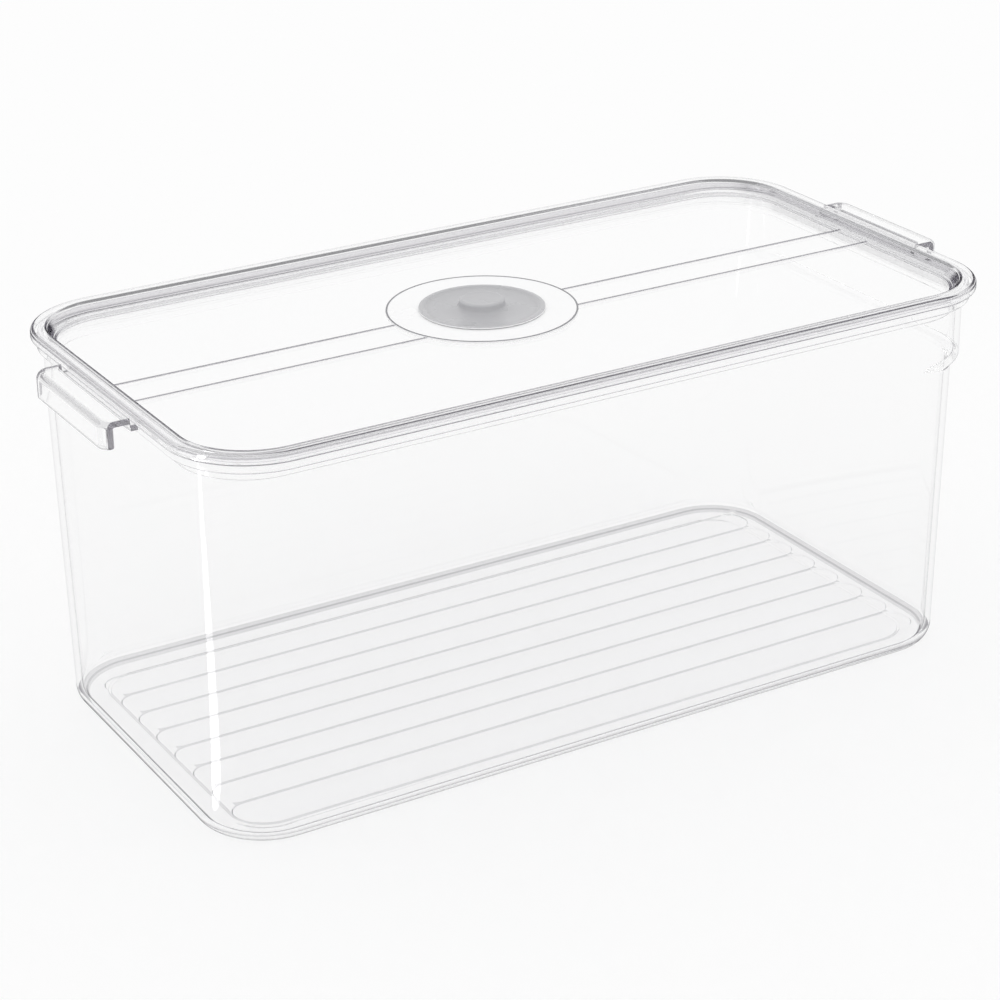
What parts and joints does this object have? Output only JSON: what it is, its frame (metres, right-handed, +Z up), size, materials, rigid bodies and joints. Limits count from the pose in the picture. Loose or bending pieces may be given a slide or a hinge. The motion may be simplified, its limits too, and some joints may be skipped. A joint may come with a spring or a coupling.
{
  "type": "storage bin",
  "caption": "Clear rectangular food storage bin with end handles, fluted floor, lift-off sealed lid and a round pull-up air vent.",
  "frame": {"origin": "on the floor under the middle of the bin", "axes": "+X along the bin's length towards one handle, +Y along its width, +Z up"},
  "size_m": [0.396, 0.1952, 0.168],
  "materials": {
    "clear_plastic": "clear and glossy",
    "grey_silicone": "soft, slightly translucent",
    "grey_cap": "smooth, slightly translucent"
  },
  "bodies": {
    "tub": {"bin_tub": "clear_plastic"},
    "lid": {"lid": "clear_plastic", "lid_gasket": "grey_silicone"},
    "vent": {"vent_cap": "grey_cap", "vent_seal": "grey_silicone"}
  },
  "joints": [
    {"name": "lid_lift", "type": "slide", "parent": "tub", "child": "lid", "axis": [0, 0, 1], "range_m": [0, 0.12]},
    {"name": "vent_pull", "type": "slide", "parent": "lid", "child": "vent", "axis": [0, 0, 1], "range_m": [0, 0.0045]}
  ]
}
